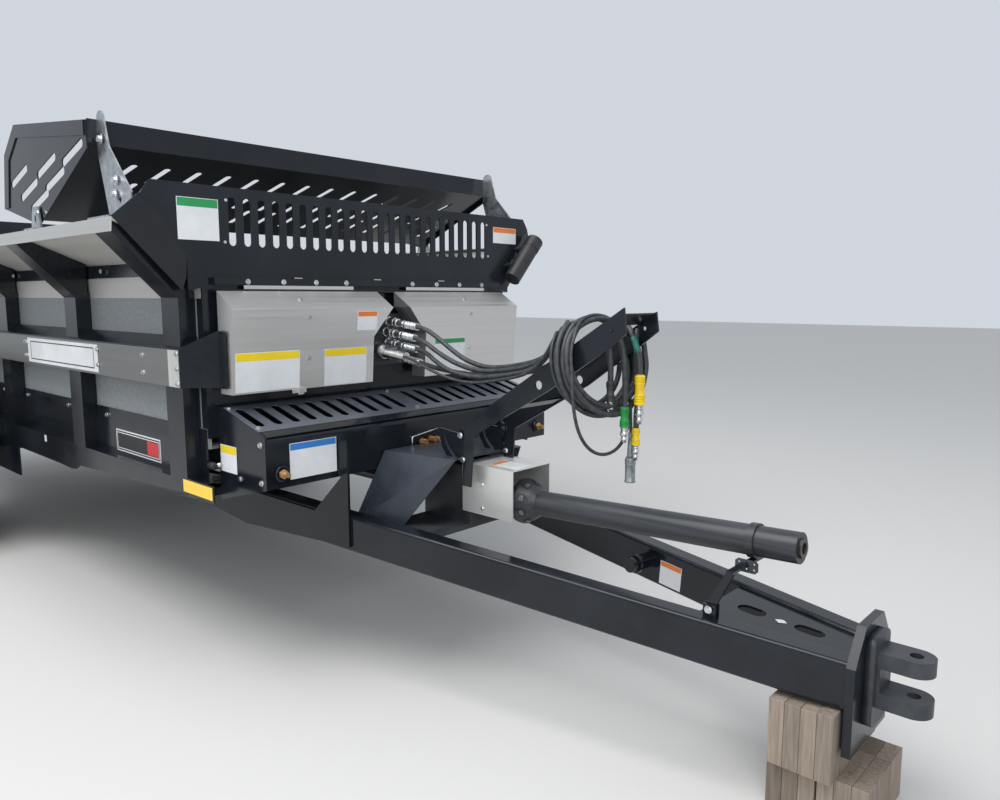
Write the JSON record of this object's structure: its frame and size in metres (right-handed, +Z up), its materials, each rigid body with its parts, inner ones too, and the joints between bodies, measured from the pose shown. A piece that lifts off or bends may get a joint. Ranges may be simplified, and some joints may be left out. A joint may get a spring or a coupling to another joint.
{
  "type": "towed manure spreader with twin vertical beaters",
  "caption": "Towed manure spreader: slatted floor conveyor in a flared box, twin vertical beaters, sliding end gate and an A-frame tongue.",
  "frame": {"origin": "middle of the machine's length and width, on the ground", "axes": "+X forward to the hitch, +Y to the machine's left, +Z up"},
  "size_m": [7.502, 2.715, 2.2],
  "materials": {
    "black_paint": "gloss black enamel",
    "board_paint": "speckled grey coating",
    "deck_board": "smooth black board",
    "stainless": "brushed",
    "galvanised": "galvanised",
    "cast_clevis": "painted casting",
    "timber": "rough sawn",
    "chain_steel": "bare steel",
    "bare_bolts": "lightly rusted",
    "gearbox_paint": "painted casting",
    "black_plastic": "gloss",
    "guard_plastic": "matt",
    "red_lens": "lens",
    "tyre": "rubber",
    "rim_paint": "silver enamel",
    "beater_paint": "black enamel",
    "rod_chrome": "chrome",
    "sheet_steel": "smooth sheet",
    "fitting_steel": "zinc plated",
    "hose_rubber": "smooth hose cover",
    "grip_paint": "coloured grips on zinc plated couplers",
    "plug_plastic": "moulded"
  },
  "bodies": {
    "root": {"frame": "black_paint", "tongue": "black_paint", "gussets": "black_paint", "hitch_clevis": "cast_clevis", "support_blocks": "timber", "deck": "deck_board", "apron": "chain_steel", "apron_shafts": "chain_steel", "side_boards": "board_paint", "stakes": "black_paint", "shelves": "stainless", "rim_rails": "stainless", "front_wall": "black_paint", "hood": "black_paint", "hood_brackets": "galvanised", "apron_housing": "black_paint", "slotted_cover": "black_paint", "take_ups": "bare_bolts", "gearbox": "gearbox_paint", "gearbox_guard": "black_paint", "pto_shield": "stainless", "holder_plates": "black_paint", "hose_arms": "black_paint", "canister": "black_plastic", "axle": "black_paint", "rear_frame": "black_paint", "beater_pan": "black_paint", "rear_gearboxes": "gearbox_paint", "gate_cylinders": "black_paint", "tail_lamps": "red_lens", "cross_members": "black_paint", "slats": "chain_steel", "flare_sheets": "sheet_steel", "shelf_plates": "black_paint", "hose_bulkhead": "fitting_steel", "hose_1": "hose_rubber", "hose_2": "hose_rubber", "hose_3": "hose_rubber", "hose_4": "hose_rubber", "cable": "hose_rubber", "hose_coil": "hose_rubber", "couplers": "grip_paint", "cable_plug": "plug_plastic"},
    "wheel_right": {"wheel_right_tyre": "tyre", "wheel_right_rim": "rim_paint"},
    "wheel_left": {"wheel_left_tyre": "tyre", "wheel_left_rim": "rim_paint"},
    "beater_right": {"beater_right": "beater_paint"},
    "beater_left": {"beater_left": "beater_paint"},
    "end_gate": {"end_gate": "black_paint", "gate_rods": "rod_chrome"},
    "cover_right": {"cover_right": "stainless"},
    "cover_left": {"cover_left": "stainless"},
    "pto_guard": {"pto_guard": "guard_plastic"},
    "pto_shaft": {"pto_shaft": "chain_steel"},
    "pto_rest": {"pto_rest": "black_paint"},
    "line_shaft": {"line_shaft": "black_paint"}
  },
  "joints": [
    {"name": "wheel_right_spin", "type": "hinge", "parent": "root", "child": "wheel_right", "pos_m": [-1.433, -1.145, 0.56], "axis": [0, 1, 0], "continuous": true},
    {"name": "wheel_left_spin", "type": "hinge", "parent": "root", "child": "wheel_left", "pos_m": [-1.433, 1.145, 0.56], "axis": [0, 1, 0], "continuous": true},
    {"name": "beater_right_spin", "type": "hinge", "parent": "root", "child": "beater_right", "pos_m": [-3.321, -0.405, 1.4], "axis": [0, 0, 1], "continuous": true},
    {"name": "beater_left_spin", "type": "hinge", "parent": "root", "child": "beater_left", "pos_m": [-3.321, 0.405, 1.4], "axis": [0, 0, 1], "continuous": true},
    {"name": "line_shaft_spin", "type": "hinge", "parent": "root", "child": "line_shaft", "pos_m": [-0.573, 0, 0.655], "axis": [1, 0, 0], "continuous": true},
    {"name": "end_gate_lift", "type": "slide", "parent": "root", "child": "end_gate", "axis": [0, 0, 1], "range_m": [0, 0.6]},
    {"name": "cover_right_hinge", "type": "hinge", "parent": "root", "child": "cover_right", "pos_m": [1.455, -0.4, 1.49], "axis": [0, -1, 0], "range_deg": [0, 100]},
    {"name": "cover_left_hinge", "type": "hinge", "parent": "root", "child": "cover_left", "pos_m": [1.455, 0.44, 1.49], "axis": [0, -1, 0], "range_deg": [0, 100]},
    {"name": "pto_tilt", "type": "hinge", "parent": "root", "child": "pto_guard", "pos_m": [2.297, 0, 0.687], "axis": [0, -1, 0], "range_deg": [0, 8]},
    {"name": "pto_spin", "type": "hinge", "parent": "pto_guard", "child": "pto_shaft", "pos_m": [2.297, 0, 0.687], "axis": [0.999, 0, 0.0436], "continuous": true},
    {"name": "pto_rest_fold", "type": "hinge", "parent": "root", "child": "pto_rest", "pos_m": [3.177, -0.162, 0.545], "axis": [0, 1, 0], "range_deg": [0, 60]}
  ],
  "couplings": [
    {"joint": "beater_left_spin", "follows": "beater_right_spin", "ratio": -1}
  ]
}
